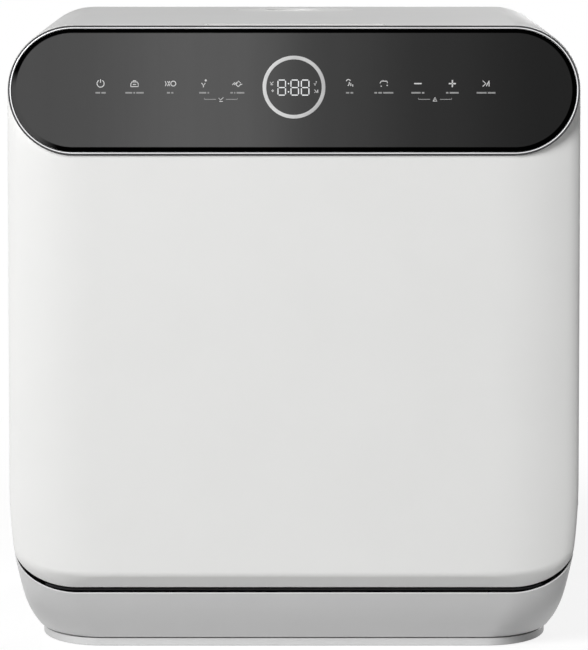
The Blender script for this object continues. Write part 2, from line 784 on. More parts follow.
def carve(obj: bpy.types.Object, cutters: Sequence[Solid]) -> None:
    """Cuts closed forms out of an object's mesh."""
    for cutter in cutters:
        tool = add(cutter.name, cutter.mesh())
        tidy_mesh(tool.data)
        cut = obj.modifiers.new("cut", "BOOLEAN")
        cut.operation, cut.solver, cut.object = "DIFFERENCE", "EXACT", tool
        bpy.context.view_layer.update()
        made = bpy.data.meshes.new_from_object(obj.evaluated_get(bpy.context.evaluated_depsgraph_get()))
        obj.modifiers.clear()
        obj.data = made
        bpy.data.objects.remove(tool)
    tidy_mesh(obj.data)


# ---------------------------------------------------------------- door


@dataclass
class DoorSkin:
    """White outer skin of the door, which falls back at its sides in a wide crown and a tighter roll.

    Args:
        pillow_d: how far the face falls back at its sides.
        crown_w: width of the band over which it falls.
        roll_w: width of the tighter roll at the edge of that band.
        roll_d: depth of that roll.
        wall: wall thickness.
        pocket_d: depth of the pocket that takes the control panel.
        steps: number of stops over the crown.
        face_d: depth of the front face.
        chin_z: height of the sloping lower edge at the seam.
        chin_angle: angle of that slope above the horizontal, in degrees.
        chin_r: radius of the bend between the slope and the front face.
        crown_power: how steeply the fall grows towards the edge.
        crowding: how closely the stops crowd towards the edge.
        inner_stops: distances from the edge at which the inside is drawn.
    """

    pillow_d: float = 11.6
    crown_w: float = 64.0
    roll_w: float = 9.0
    roll_d: float = 2.8
    wall: float = 2.2
    pocket_d: float = 12.7
    steps: int = 30
    face_d: float = 3.0
    chin_z: float = 49.7
    chin_angle: float = 40.5
    chin_r: float = 6.0
    crown_power: float = 2.4
    crowding: float = 2.2
    inner_stops: tuple[float, ...] = (3, 5.5, 9, 15, 22, 31, 41, 52, 64)

    def lower(self, depth: float) -> float:
        """Height of the lower edge at a depth: a bend under the front, then a slope to the seam."""
        back, slope = depth - self.face_d, radians(self.chin_angle)
        if back >= self.chin_r * (1 - sin(slope)):
            return self.chin_z + (BODY.seam_d - depth) * tan(slope)
        start = self.chin_z + (BODY.seam_d - self.face_d) * tan(slope) + self.chin_r * tan(pi / 4 - slope / 2)
        return start - sqrt(max(0.0, back * (2 * self.chin_r - back)))

    def outline(self, depth: float, inset: float, wall: float = 0.0) -> Outline:
        """Elevation of the skin at a depth, shrunk by the crown's inset and the wall."""
        return full_outline(
            BODY.side_w - inset - wall, self.lower(depth - wall * 0.6) + wall * 0.8,
            BODY.corner_a - 0.35 * inset - wall, BODY.corner_b * exp(-inset / 20),
            BODY.height - 1 - inset * 0.6 - wall, BODY.panel_r - 1 - 0.3 * inset - wall)

    def fall(self, inset: float) -> float:
        """How far the face has fallen back at a distance from its edge."""
        crown = (self.pillow_d - self.roll_d) * (1 - inset / self.crown_w) ** self.crown_power
        return crown + self.roll_d * (1 - sqrt(1 - max(0.0, 1 - inset / self.roll_w) ** 2))

    def build(self) -> None:
        """Skins the shell, cuts the panel's pocket and softens the cut."""
        stops = [self.crown_w * (1 - i / self.steps) ** self.crowding for i in range(self.steps + 1)]
        rows = [(self.face_d + self.fall(s), s, 0.0) for s in stops]
        seam = BODY.seam_d
        rows += [(seam - 0.2, 0, 0), (seam - 0.05, 0.15, 0), (seam, 0.6, 0), (seam, 0, self.wall)]
        rows += [(self.face_d + self.fall(s) + self.wall, s, self.wall) for s in self.inner_stops]
        solid = Solid("door_front", Stock.SHELL)
        solid.rings([[Facing.FRONT.at(u, v, d) for u, v in self.outline(d, inset, wall)]
                     for d, inset, wall in rows])
        skin = solid.build("door", "door_skin", slot="white_shell")
        skin.modifiers.clear()
        pocket = Solid("pocket").rings([[Facing.FRONT.at(u, v, d) for u, v in stadium(-0.3)]
                                        for d in (-2.0, self.pocket_d)])
        carve(skin, [pocket])
        soften(skin, 0.3, 50.0)
        even_normals(skin)


class Glyph(Enum):
    """Symbols of the touch keys, each a list of strokes in millimetres about its middle."""

    POWER = ("a 0 0 2.6 118 422", "l 0 0.7 0 3.2")
    POT = ("l -2.7 -2.2 -2.7 0 -1.9 1.2 1.9 1.2 2.7 0 2.7 -2.2 -2.7 -2.2", "l -1.2 -0.6 1.2 -0.6",
           "l -0.9 1.2 -0.9 2.1 0.9 2.1 0.9 1.2")
    QUICK = ("l -3.6 1.8 -2.9 -0.2 -3.5 -1.8", "l -1.9 1.8 -1.0 0 -1.9 -1.8", "l -0.3 1.8 -1.0 0 -0.2 -1.8",
             "a 2.3 0 1.8 0 360")
    GOBLET = ("l -1.9 0.5 -0.5 -1.4 0.9 0.5", "l -0.5 -1.4 -0.5 -2.7", "d 1.2 2.3 0.75")
    LEAF = ("l -3.6 -0.9 -1.9 0.7 -0.8 -0.6 0.9 1.9 2.6 0.2", "l -0.9 -0.8 0.7 -2.3 2.2 -0.8 3.6 -0.3",
            "l -2.2 -0.9 -0.2 1.0")
    STEAM = ("a -0.9 1.5 1.5 20 170", "l -0.1 1.2 -0.5 -0.8 -1.3 -1.6", "l 0.9 0.3 0.9 -1.7",
             "l 2.3 -0.6 2.3 -2.2")
    TAP = ("l -2.9 0.2 -1.9 1.8 2.3 1.8 2.6 0.3", "l -0.6 1.8 -0.6 2.6", "d -1.9 -1.9 0.45",
           "d 2.4 -1.3 0.45")
    MINUS = ("l -2.7 0 2.7 0",)
    PLUS = ("l -2.6 0 2.6 0", "l 0 -2.6 0 2.6")
    START = ("l -2.4 2.1 -0.2 0 -2.4 -2.1", "l 0.2 -1.9 2.1 1.9", "l 2.2 -2.1 2.2 2.1")
    KEEP = ("l -1.7 1.1 -0.4 -0.6 1.9 1.5", "l -1.2 -1.6 1.5 -1.6")
    LOCK = ("l -1.5 -1.4 0 1.5 1.5 -1.4 -1.5 -1.4", "l 0 -0.7 0 0.4")

    def draw(self, solid: Solid, x: float, z: float, depth: float, width: float, size: float = 1.0) -> None:
        """Adds the symbol's strokes to a solid, centred on (x, z)."""
        for stroke in self.value:
            kind, *given = stroke.split()
            n = [float(v) * size for v in given]
            if kind == "l":
                solid.ribbon([(x + u, z + v) for u, v in zip(n[::2], n[1::2])], width, depth)
            elif kind == "d":
                solid.dot(x + n[0], z + n[1], n[2], depth, 20)
            else:
                turn = arc(x + n[0], z + n[1], n[2], n[3] / size, n[4] / size, 28)
                solid.ribbon(turn, width, depth)


@dataclass
class ControlPanel:
    """Tinted glass in its bezel and bright ring, with the lit display and the printed touch keys.

    Args:
        face: depth of the glass face.
        mark: depth at which printed and lit marks lie on it.
        ring_r: outer radius of the ring round the display.
        ring_w: width of that ring.
        display_z: height of the display's middle.
        symbol_z: height of the key symbols.
        label_z: height of the dashes under them.
        bracket_z: height of the brackets under two pairs of keys.
        dash_h: height of a dash.
        dash_gap: gap between two dashes.
        keys: x, symbol and dash widths of each key.
        lamps: symbol, x, z, stroke width and size of each small lamp beside the figures.
        brackets: first x, last x and symbol of each bracket.
    """

    face: float = 0.5
    mark: float = 0.42
    ring_r: float = 23.0
    ring_w: float = 2.8
    display_z: float = 420.0
    symbol_z: float = 422.6
    label_z: float = 415.9
    bracket_z: float = 411.1
    dash_h: float = 1.15
    dash_gap: float = 0.9
    keys: tuple[tuple[float, Glyph, tuple[float, ...]], ...] = (
        (-141.2, Glyph.POWER, (3.4, 3.2)), (-116.4, Glyph.POT, (5.0, 1.2, 5.4)),
        (-90.4, Glyph.QUICK, (2.2, 1.6)), (-65.6, Glyph.GOBLET, (5.2, 1.2)),
        (-41.4, Glyph.LEAF, (1.8, 1.0, 5.6)), (40.6, Glyph.STEAM, (2.4, 2.0)),
        (65.6, Glyph.TAP, (2.0, 2.6, 7.4)), (90.4, Glyph.MINUS, (6.8, 1.8)),
        (115.6, Glyph.PLUS, (1.8, 6.6)), (140.2, Glyph.START, (7.2, 5.6)))
    lamps: tuple[tuple[Glyph, float, float, float, float], ...] = (
        (Glyph.KEEP, -16.3, 422.9, 0.5, 0.7), (Glyph.PLUS, -15.6, 417.4, 0.7, 0.36),
        (Glyph.GOBLET, 15.6, 422.6, 0.45, 0.55), (Glyph.START, 16.2, 417.0, 0.45, 0.55))
    brackets: tuple[tuple[float, float, Glyph], ...] = (
        (-65.4, -41.3, Glyph.KEEP), (90.9, 115.0, Glyph.LOCK))

    def build(self) -> None:
        """Makes the trim, the glass, the display and the marks."""
        self.trim()
        glass = Solid("panel_glass", Stock.GLASS)
        glass.prism(Facing.FRONT, lambda i: stadium(BODY.trim_w + 0.2 + i), self.face, 3.7, 0.35)
        glass.build("door", "control_glass", slot="panel_glass")
        self.display()
        self.marks()

    def trim(self) -> None:
        """The dark bezel with the bright ring laid inside it."""
        sleeve = Solid("panel_sleeve", Stock.SHELL)
        sleeve.frame(Facing.FRONT, stadium, [(0.05, 12.6), (0.05, 1.5), (2.5, 1.5), (2.5, 4.0), (4.2, 4.0),
                                             (4.2, 8.0), (2.6, 8.0), (2.6, 12.6)])
        sleeve.build("door", slot="white_shell")
        bezel = Solid("panel_bezel", Stock.DARK)
        bezel.frame(Facing.FRONT, stadium, [(0.05, 1.5), (0.05, 0.9), (0.25, 0.45), (0.6, 0.3), (1.25, 0.4),
                                            (1.3, 0.9), (2.3, 0.9), (2.3, 0.5), (2.45, 0.5), (2.5, 1.5)])
        bezel.build("door", slot="dark_trim")
        bright = Solid("panel_bright_ring", Stock.TRIM)
        bright.frame(Facing.FRONT, stadium, [(1.33, 1.2), (1.33, 0.3), (1.5, 0.06), (1.8, 0.0), (2.1, 0.06),
                                             (2.27, 0.3), (2.27, 1.2)])
        bright.build("door", "panel_trim", slot="bright_trim")

    def display(self) -> None:
        """The lit ring, the four figures and the small lamps beside them."""
        ring = Solid("display_ring", Stock.RING)
        ring.frame(Facing.FRONT, lambda i: circle(0, self.display_z, self.ring_r - i, 96),
                   [(0.0, 0.6), (0.1, self.mark + 0.03), (0.5, self.mark - 0.06),
                    (self.ring_w - 0.5, self.mark - 0.06), (self.ring_w - 0.1, self.mark + 0.03),
                    (self.ring_w, 0.6)])
        ring.build("door", "display_module", slot="display")
        figures = Solid("display_figures", Stock.LAMP)
        for x0 in (-12.1, -2.6, 5.0):
            self.figure(figures, x0 + 0.4, x0 + 5.9)
        for z in (422.6, 416.6):
            figures.dot(-4.0, z, 0.55, self.mark, 16)
        figures.build("door", slot="display")
        lamps = Solid("display_small_lamps", Stock.MARK)
        for glyph, x, z, width, size in self.lamps:
            glyph.draw(lamps, x, z, self.mark, width, size)
        lamps.build("door", slot="display")

    def figure(self, solid: Solid, x0: float, x1: float) -> None:
        """One figure of seven bars with small gaps at its corners."""
        low, mid, high, gap = self.display_z - 5.8, self.display_z - 0.3, self.display_z + 5.2, 0.55
        bars = [[(x0 + gap, z), (x1 - gap, z)] for z in (low, mid, high)]
        bars += [[(x, a + gap), (x, b - gap)] for x in (x0, x1) for a, b in ((low, mid), (mid, high))]
        for bar in bars:
            solid.ribbon(bar, 0.78, self.mark)

    def marks(self) -> None:
        """Symbols over rows of plain dashes, and the brackets under two pairs of keys."""
        symbols = Solid("touch_symbols", Stock.MARK)
        dashes = Solid("touch_dashes", Stock.FAINT)
        for x, glyph, widths in self.keys:
            bold = 0.95 if glyph in (Glyph.MINUS, Glyph.PLUS) else 0.62
            glyph.draw(symbols, x, self.symbol_z, self.mark, bold)
            start = x - (sum(widths) + self.dash_gap * (len(widths) - 1)) / 2
            for width in widths:
                dash = [(start, self.label_z), (start + width, self.label_z)]
                dashes.ribbon(dash, self.dash_h, self.mark)
                start += width + self.dash_gap
        for x0, x1, glyph in self.brackets:
            middle = (x0 + x1) / 2
            for side, end in ((-1, x0), (1, x1)):
                foot = (middle + side * 3.6, self.bracket_z)
                dashes.ribbon([(end, self.bracket_z + 1.0), (end, self.bracket_z), foot], 0.5, self.mark)
            glyph.draw(symbols, middle, self.bracket_z, self.mark, 0.5, 0.95)
        symbols.build("door", slot="display")
        dashes.build("door", slot="display")


# ---------------------------------------------------------------- cabinet


@dataclass
class BaseShell:
    """Pale base whose front slopes back under the door and whose corners turn smoothly into its sides.

    Args:
        front_z: lower edge of the front, under the door.
        edge: radius of the lower edges along the sides.
        foot_x: half width of the underside's straight front edge.
        foot_turn: depth of the curved corners at the underside.
        bow: how far the sloping front bulges, as a share of its depth.
        lip: wall thickness at the front edge.
        thicker: gain in thickness and the depth over which it comes, for each of two stretches.
    """

    front_z: float = 44.4
    edge: float = 3.0
    foot_x: float = 145.0
    foot_turn: float = 80.0
    bow: float = 0.055
    lip: float = 0.95
    thicker: tuple[Pair, Pair] = ((0.35, 1.5), (0.9, 8))

    @property
    def run(self) -> float:
        """How steeply the front slopes back at its upper edge, in depth over height."""
        return (BODY.slope_d - BODY.cab_d0) / (self.front_z - BODY.base_z) * (1 - self.bow * pi)

    def front(self, z: float) -> float:
        """Depth of the sloping front at a height; the seam cuts it off above its upper edge."""
        share = (self.front_z - z) / (self.front_z - BODY.base_z)
        if share < 0:
            return BODY.cab_d0 - self.run * (z - self.front_z)
        return BODY.cab_d0 + (BODY.slope_d - BODY.cab_d0) * (share - self.bow * sin(pi * share))

    def turn(self, z: float) -> Pair:
        """Width and depth of the curved corner between front and side at a height."""
        share = max(0.0, self.front_z - z) / (self.front_z - BODY.base_z)
        most, start = BODY.side_w - lean(BODY.base_z) - self.foot_x, self.run * BODY.corner_b
        return (BODY.corner_a + (most - BODY.corner_a) * share,
                start + (self.foot_turn - start) * share ** 2)

    def half_width(self, d: float, z: float) -> float:
        """Half width of the base at a depth and a height."""
        wide, deep = self.turn(z)
        share = min(1.0, max(0.0, (d - self.front(z)) / deep))
        rise = max(0.0, 1 - (z - BODY.base_z) / self.edge)
        return (BODY.side_w - lean(z) - wide * (1 - sqrt(1 - (1 - share) ** 2))
                - self.edge * (1 - sqrt(max(0.0, 1 - rise ** 2))))

    def section(self, d: float, zb: float) -> list[Vector]:
        """Closed section of the sheet at a depth: outside left to right, then inside back."""
        zc, fine = self.front_z + BODY.corner_b, 30
        rise = [zb + (zc - zb) * (1 - cos(pi / 2 * i / fine)) for i in range(fine + 1)]
        half = [(self.half_width(d, z), z) for z in rise]
        half += [(BODY.side_w - lean(z), z) for z in (zc + (BODY.base_top - zc) * i / 6 for i in range(1, 7))]
        back = d - BODY.cab_d0
        wall = self.lip + sum(gain * min(1.0, back / over) for gain, over in self.thicker)
        inside = inward(half, wall)
        outline = mirrored(half) + half + list(reversed(mirrored(inside) + inside))
        return [Facing.FRONT.at(u, v, d) for u, v in outline]

    def build(self) -> None:
        """Skins the base from front to back."""
        heights = [self.front_z - (self.front_z - BODY.base_z) * i / 24 for i in range(25)]
        stops = [(self.front(z), z) for z in heights]
        stops += [(BODY.slope_d + self.foot_turn * (1 - cos(pi / 2 * i / 20)), BODY.base_z)
                  for i in range(1, 21)]
        solid = Solid("base_shell_smooth", Stock.BASE)
        solid.rings([self.section(d, zb) for d, zb in (*stops, (BODY.cab_d1, BODY.base_z))])
        solid.build("cabinet", "base_shell", slot="grey_shell")


@dataclass
class Plinth:
    """Band under the base with a straight front and long curved corners.

    Args:
        half_w: half of its width.
        flat: half of the straight front's width.
        turn: depth of the curved front corners.
        rear_r: radius of its rear corners.
        rear_d: depth of its rear edge.
        room: sides, front, back and corner radius of the hollow in its underside.
        foot_r: radius of the holes for the feet.
    """

    half_w: float = 190.5
    flat: float = 144.0
    turn: float = 85.0
    rear_r: float = 24.0
    rear_d: float = 432.0
    room: tuple[float, ...] = (-165.5, 165.5, 64, 420, 14)
    foot_r: float = 9.3

    def plan(self, inset: float) -> Outline:
        """Outline from above, shrunk all round by inset."""
        d0, d1 = BODY.slope_d + 1 + inset, self.rear_d - inset
        w, r = self.half_w - inset, self.rear_r - inset
        front = [(self.flat + (w - self.flat) * sin(radians(a)), d0 + self.turn * (1 - cos(radians(a))))
                 for a in range(0, 91, 5)]
        half = front + arc(w - r, d1 - r, r, 0, 90, 10)
        return half + mirrored(half)

    def build(self) -> None:
        """Extrudes the band, then cuts the underside's hollow and the feet's holes out of it."""
        solid = Solid("plinth_band", Stock.PLINTH)
        solid.prism(Facing.TOP, self.plan, 0.4, 6.0, 0.6)
        band = solid.build("cabinet", "plinth_trim", slot="dark_trim")
        hollow = Solid("hollow").prism(Facing.TOP, lambda i: rounded(*self.room, i), -1.0, 4.2, 0.2)
        drill = [(0, -1), (self.foot_r, -1), (self.foot_r, 8), (0, 8)]
        holes = [Solid("hole").lathe(Facing.TOP, spot, drill) for spot in Feet.spots]
        carve(band, [hollow, *holes])
        even_normals(band)


@dataclass
class Feet:
    """Ribbed rubber feet under the plinth."""

    spots: tuple[Pair, ...] = ((-150, 96), (150, 96), (-150, 392), (150, 392))

    def build(self) -> None:
        """Turns each foot with a grooved tread."""
        solid = Solid("ribbed_feet", Stock.FOOT)
        tread = [(0, 0.0), (4, 0.0), (4.6, 0.7), (6.4, 0.7), (7, 0.0), (10, 0.0), (10.6, 0.7), (11.8, 0.7),
                 (12.4, 0.0), (13.4, 0.0), (14, 0.5), (14, 2.6), (13.6, 3.0), (9, 3.0), (9, 7.0), (0, 7.0)]
        for spot in self.spots:
            solid.lathe(Facing.TOP, spot, tread)
        solid.build("cabinet", "rubber_feet", slot="black_plastic")


@dataclass
class Seal:
    """Door seal with a round bulb and a thin wiping lip, as (inset, depth) points."""

    profile: tuple[Pair, ...] = (
        (0, 38.1), (0, 36.3), (0.7, 35.2), (1.8, 34.5), (3.0, 34.4), (4.2, 34.9), (4.8, 35.9), (5.6, 36.9),
        (6.6, 36.7), (7.7, 35.6), (8.3, 35.8), (8.1, 37.2), (8.4, 38.1))

    def build(self) -> None:
        """Sweeps the profile round the tub's mouth."""
        solid = Solid("door_seal", Stock.SEAL)
        solid.frame(Facing.FRONT, lambda i: rounded(-172, 172, 92.5, 434, 20, i, 12), list(self.profile))
        solid.build("cabinet", "door_gasket", slot="gasket")


# ---------------------------------------------------------------- rack


@dataclass
class DishRack:
    """Coated wire rack: bent floor wires, a heavy rim, two rows of tines and the cup shelf's clips.

    Args:
        hw: half of its width.
        d0: depth of its front.
        d1: depth of its rear.
        rim_z: height of the rim.
        floor_z: height of the floor's underside.
        wire_r: radius of the thin wires.
        bend: radius at which they bend.
        corner: corner radius of the two loops.
        pitch: distance between two wires that run front to back, and of the tines from the middle.
        cross: first depth of the cross wires and the distance between two.
        tine: first depth of the tines and the distance between two.
        tine_top: height of the tines' tips.
        clip_w: width of a clip.
        pivot: x and z of the cup shelf's pivot.
        nodes: CAD nodes that the rack stands for.
    """

    hw: float = 150.0
    d0: float = 64.0
    d1: float = 348.0
    rim_z: float = 196.0
    floor_z: float = 128.2
    wire_r: float = 1.6
    bend: float = 10.0
    corner: float = 14
    pitch: float = 33.0
    cross: Pair = (94.0, 46)
    tine: Pair = (104.0, 26)
    tine_top: float = 190.0
    clip_w: float = 5
    pivot: Pair = (-149.0, 214.0)
    nodes: tuple[str, ...] = ("rack_floor", "rack_front", "rack_back", "rack_left", "rack_right",
                              "rack_corners", "rack_tines", "shelf_clips")

    def loop(self, solid: Solid, z: float, r: float) -> None:
        """Closed loop of wire round the rack at height z."""
        plan = rounded(-self.hw, self.hw, self.d0, self.d1, self.corner)
        solid.tube([Vector((x, d, z)) for x, d in plan], r, loop=True)

    def build(self) -> None:
        """Bends every wire and hangs the shelf's clips on the left rim."""
        solid = Solid("wire_rack", Stock.WIRE, Stock.PALE)
        self.loop(solid, self.rim_z, 2.4)
        self.loop(solid, self.floor_z + 6, 2.0)
        low = self.floor_z + 3.4
        for i in range(-4, 5):
            x, front, rear = i * self.pitch, self.d0 - 1.2, self.d1 + 1.2
            path = [(x, front, self.rim_z), (x, front, low), (x, rear, low), (x, rear, self.rim_z)]
            solid.tube(fillet(path, self.bend), self.wire_r)
        for i in range(6):
            d, base = self.cross[0] + i * self.cross[1], self.floor_z + 0.8
            path = [(-self.hw, d, self.rim_z), (-self.hw, d, base),
                    (self.hw, d, base), (self.hw, d, self.rim_z)]
            solid.tube(fillet(path, self.bend), self.wire_r)
        for side in (-1, 1):
            for i in range(9):
                spot = (side * self.pitch, self.tine[0] + i * self.tine[1])
                ends = [Vector((*spot, z)) for z in (self.floor_z + 3, self.tine_top)]
                solid.tube(ends, self.wire_r, tip=1.4)
        for d in (100.0, 300.0):
            back = d + self.clip_w
            solid.prism(Facing.FRONT, lambda i: rounded(-154, -144, 194, 214, 2, i, 4), d, back, 0.6, slot=1)
            eye = [(2.1, d + 0.6), (2.6, d), (4.6, d), (5, d + 0.5)]
            eye += [(r, d + back - v) for r, v in reversed(eye)]
            solid.lathe(Facing.FRONT, self.pivot, eye, slot=1)
        solid.build("rack", *self.nodes, slot="wire")


@dataclass
class CupShelf:
    """Folding shelf of bent wire along the rack's left side.

    Args:
        x0: x of the pivot wire.
        x1: x of the free edge.
        z: height at which the shelf lies.
        pivot_d: front and rear end of the pivot wire.
        loop_d: front and rear of the outer loop.
    """

    x0: float = -149.0
    x1: float = -60.0
    z: float = 214.0
    pivot_d: Pair = (92, 326)
    loop_d: Pair = (110, 316)

    def build(self) -> None:
        """Bends the outer loop, the pivot wire and the cross wires."""
        solid = Solid("wire_cup_shelf", Stock.WIRE)
        solid.tube([Vector((self.x0, d, self.z)) for d in self.pivot_d], 2.0, tip=1.6)
        near, far = self.loop_d
        loop = [(x, d, self.z) for x, d in
                ((self.x0, near), (self.x1, near), (self.x1, far), (self.x0, far))]
        solid.tube(fillet(loop, 12), 2.0)
        for i in range(1, 9):
            d = near + i * (far - near) / 9
            solid.tube([Vector((x, d, self.z + 1.8)) for x in (self.x0, self.x1)], 1.6, tip=1.2)
        solid.build("cup_shelf", "cup_shelf", slot="wire")


# ---------------------------------------------------------------- inside the tub


@dataclass
class SprayArm:
    """Two-armed spray arm with slotted nozzles, a hub ring and a joint line round its edge.

    Args:
        name: name of the piece.
        body: CAD body that it moves with.
        node: CAD node that it stands for.
        reach: length of one arm from the axis.
        z0: height of the underside.
        z1: height of the top.
        up: whether the nozzles are on top.
        arm_w: half width of an arm.
        hub_w: half width at the hub.
        hub_x: distance from the axis at which the hub ends.
        nozzles: distance of the first nozzle from the axis, step between two, and how far they
            stand off the arm's middle line.
    """

    name: str
    body: str
    node: str
    reach: float
    z0: float
    z1: float
    up: bool
    arm_w: float = 12
    hub_w: float = 24
    hub_x: float = 34
    nozzles: Point = (38, 20, 4)

    def plan(self, inset: float) -> Outline:
        """Outline that narrows from the hub to the arms and ends in round tips."""
        def half(x: float) -> float:
            t = min(1.0, abs(x) / self.hub_x)
            return self.arm_w + (self.hub_w - self.arm_w) * (1 - t * t * (3 - 2 * t))
        tip = self.reach - self.arm_w
        right = [(x, -half(x)) for x in (i * tip / 16 for i in range(16))]
        cap = arc(tip, 0, self.arm_w, -90, 90, 10)
        upper = [(u, -v) for u, v in reversed(right[1:])]
        side = right + cap + upper
        whole = side + [(-u, -v) for u, v in side]
        return [(u * (self.reach - inset) / self.reach,
                 BODY.spray_d + v * (1 - inset / max(self.arm_w, abs(v)))) for u, v in whole]

    def build(self) -> None:
        """Shapes the arm and sets its nozzles."""
        solid = Solid(self.name, Stock.ARM, Stock.BLACK)
        solid.prism(Facing.TOP, self.plan, self.z0, self.z1, 3.0)
        middle = (self.z0 + self.z1) / 2
        solid.prism(Facing.TOP, lambda i: self.plan(i - 0.5), middle - 0.5, middle + 0.5, 0.3)
        face, way = (self.z1, 1) if self.up else (self.z0, -1)
        first, step, off = self.nozzles
        for side in (-1, 1):
            for k in range(5):
                x, d = side * (first + step * k), BODY.spray_d + (off if k % 2 == 0 else -off)
                if abs(x) < self.reach - 8:
                    ring = [(3.6, face - way), (3.6, face + way * 0.9), (3.0, face + way * 1.6),
                            (1.5, face + way * 1.6), (1.0, face + way * 0.6)]
                    solid.lathe(Facing.TOP, (x, d), ring, steps=20)
                    slit = (x - 1.3, x + 1.3, d - 0.5, d + 0.5, 0.4)
                    solid.prism(Facing.TOP, lambda i, slit=slit: rounded(*slit, i, 3),
                                *sorted((face + way * 0.5, face + way * 0.75)), 0.05, slot=1)
        solid.lathe(Facing.TOP, (0.0, BODY.spray_d), [
            (12.0, face - way * 0.5), (16.0, face - way * 0.5),
            (15.4, face + way * 0.7), (12.6, face + way * 0.9)])
        solid.build(self.body, self.node, slot="arm_grey")


@dataclass
class LinerBeads:
    """Low moulded beads that stiffen the inside of the door.

    Args:
        depth: depth of the liner's face.
        height: how far a bead stands off it.
        rooms: sides, lower and upper edge and corner radius of each bead.
    """

    depth: float = 18.0
    height: float = 1.1
    rooms: tuple[tuple[float, ...], ...] = ((-140, 140, 312, 376, 22), (-140, 140, 116, 188, 22))

    def build(self) -> None:
        """One rounded bead above the dispenser and one below it."""
        solid = Solid("door_liner_beads", Stock.TUB)
        top = self.depth + self.height
        rise = [(0, self.depth - 0.2), (0.5, self.depth + 0.2), (1.8, top - 0.15), (3.0, top),
                (4.2, top - 0.15), (5.5, self.depth + 0.2), (6.0, self.depth - 0.2)]
        for room in self.rooms:
            solid.frame(Facing.FRONT, lambda i, room=room: rounded(*room, i, 10), rise)
        solid.build("door", slot="liner")


# ---------------------------------------------------------------- machinery


@dataclass
class Hoses:
    """Smooth hoses along the routes of the CAD ones; each route has its radius, bend and points."""

    routes: tuple[tuple[float, float, tuple[Point, ...]], ...] = (
        (6.0, 14.0, ((-76, 246, 64), (-76, 354, 64), (0, 354, 64), (0, 354, 50), (0, 384, 50))),
        (4.5, 11.0, ((79, 241, 86), (79, 346, 86), (0, 346, 86), (0, 384, 86), (0, 384, 124.2))),
        (5.0, 12.0, ((-84, 380, 55), (-130, 380, 55), (-130, 380, 100), (-130, 404, 100), (-130, 404, 150))))

    def build(self) -> None:
        """Sweeps each hose and puts a clip near both of its ends."""
        solid = Solid("bent_hoses", Stock.HOSE, Stock.PART)
        for r, bend, route in self.routes:
            path = fillet(route, bend, 8)
            solid.tube(path, r, sides=16)
            for end, into in ((path[0], path[1]), (path[-1], path[-2])):
                way = (into - end).normalized()
                solid.tube([end + way * 3, end + way * 9], r + 0.6, slot=1, sides=16)
        solid.build("cabinet", "hoses", slot="hose")


@dataclass
class Heater:
    """Tubular heater on the tub's floor with two clips.

    Args:
        r: radius of the ring.
        z: height of the ring.
        foot_z: height of the tube's two ends.
        stub: length of the straight ends.
    """

    r: float = 94.0
    z: float = 105.0
    foot_z: float = 92.0
    stub: float = 9

    def build(self) -> None:
        """Bends the tube round its ring and down through the floor."""
        turn = [Vector((u, d, self.z)) for u, d in arc(0, BODY.spray_d, self.r, 97.5, 442.5, 72)]
        first, last = (Vector((*turn[i].xy, self.foot_z)) for i in (0, -1))
        rise = Vector((0, 0, self.stub))
        path = [first, first + rise, *turn[1:-1], last + rise, last]
        solid = Solid("tubular_heater", Stock.PART)
        solid.tube(path, 3.0, sides=14)
        for a in (200.0, 340.0):
            (u, d), = arc(0, BODY.spray_d, self.r, a, a, 1)[:1]
            solid.lathe(Facing.TOP, (u, d), [(0, 100.0), (4.4, 100.0), (4.4, 101.2), (3.0, 102.0),
                                             (2.4, 105.0), (0, 105.0)])
        solid.build("cabinet", "heater", slot="steel")


# ---------------------------------------------------------------- finishes on the CAD's own pieces


@dataclass(frozen=True)
class Dress:
    """Finish and edge softening for one CAD node that keeps its own shape."""

    node: str
    finish: Finish
    bevel: float = 0.3

    def apply(self) -> None:
        """Gives the node its material and, where asked, its softened edges."""
        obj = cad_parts[self.node]
        for held in obj.material_slots:
            held.link = "OBJECT"
            held.material = self.finish.paint()
        if self.bevel:
            weld = obj.modifiers.new("join_seams", "WELD")
            weld.merge_threshold = 1e-5
            soften(obj, self.bevel)
            obj.modifiers["soft_edges"].harden_normals = True
        LOG.info("node %s gets %s", self.node, self.finish.name)


